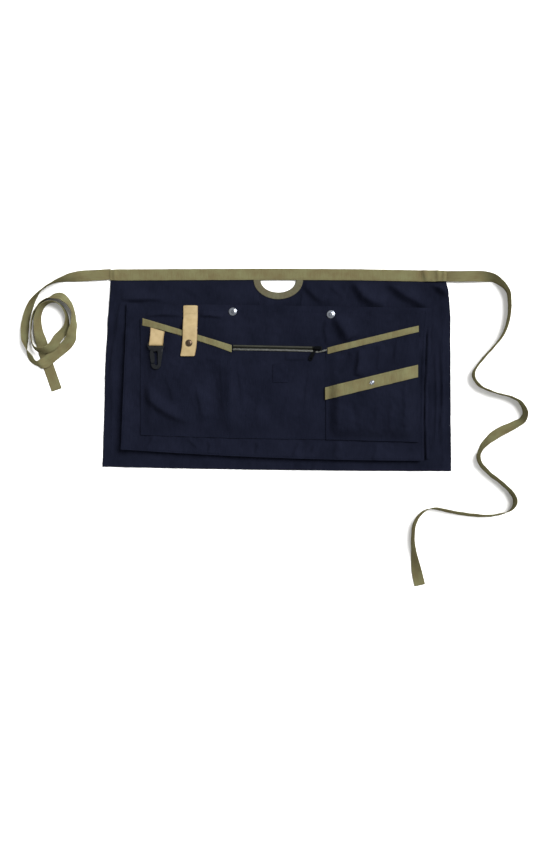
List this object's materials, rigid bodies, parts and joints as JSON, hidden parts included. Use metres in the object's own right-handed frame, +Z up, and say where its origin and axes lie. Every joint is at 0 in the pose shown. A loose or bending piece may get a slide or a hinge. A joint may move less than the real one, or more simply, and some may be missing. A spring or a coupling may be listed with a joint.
{
  "type": "waist apron",
  "caption": "Canvas waist apron lying flat: raised panel of slanted and zipped pockets, banded tool pocket, half-moon towel slot, leather straps, snap hook and long tape ties.",
  "frame": {"origin": "on the surface the apron lies on, under the middle of the apron without its ties", "axes": "+X along the waist, towards the wearer's left as the apron faces up, +Y towards the waistband, +Z up from the surface"},
  "size_m": [0.9531, 0.6042, 0.0265],
  "materials": {
    "navy_canvas": "plain-woven cotton canvas, matt",
    "olive_tape": "twill cotton tape, matt",
    "tan_leather": "pale vegetable-tanned leather, fine grain",
    "nickel": "bright nickel plate",
    "black_metal": "black enamel on die-cast metal, satin",
    "dark_snap": "antiqued brass, dark",
    "zip_tape": "woven zip tape, matt",
    "zip_teeth": "pressed metal teeth, dull",
    "label_cloth": "close-woven label cloth with a plain border"
  },
  "bodies": {
    "apron": {"back_panel": "navy_canvas", "waistband": "olive_tape", "cutout_binding": "olive_tape", "left_tie": "olive_tape", "right_tie": "olive_tape", "pocket_panel": "navy_canvas", "pocket_gusset": "navy_canvas", "right_gusset": "navy_canvas", "left_pocket": "navy_canvas", "zip_pocket": "navy_canvas", "right_pocket": "navy_canvas", "tool_pocket": "navy_canvas", "left_pocket_binding": "olive_tape", "right_pocket_binding": "olive_tape", "tool_pocket_band": "olive_tape", "zip_tape": "zip_tape", "zip_chain": "zip_teeth", "zip_slider": "black_metal", "zip_pull": "black_metal", "strap_loop": "tan_leather", "tool_strap": "tan_leather", "label": "label_cloth", "left_snap": "nickel", "right_snap": "nickel", "strap_snap": "dark_snap", "band_snap": "nickel"},
    "hook": {"hook_clip": "black_metal"},
    "gate": {"hook_gate": "black_metal"}
  },
  "joints": [
    {"name": "clip_swing", "type": "hinge", "parent": "apron", "child": "hook", "pos_m": [-0.2259, 0.0452, 0.0207], "axis": [-1, 0, 0], "range_deg": [0, 100]},
    {"name": "gate_swing", "type": "hinge", "parent": "hook", "child": "gate", "pos_m": [-0.2339, 0.03121, 0.02016], "axis": [0, -0.0384, 0.9993], "range_deg": [0, 12], "stiffness_Nm_per_rad": 0.02}
  ]
}
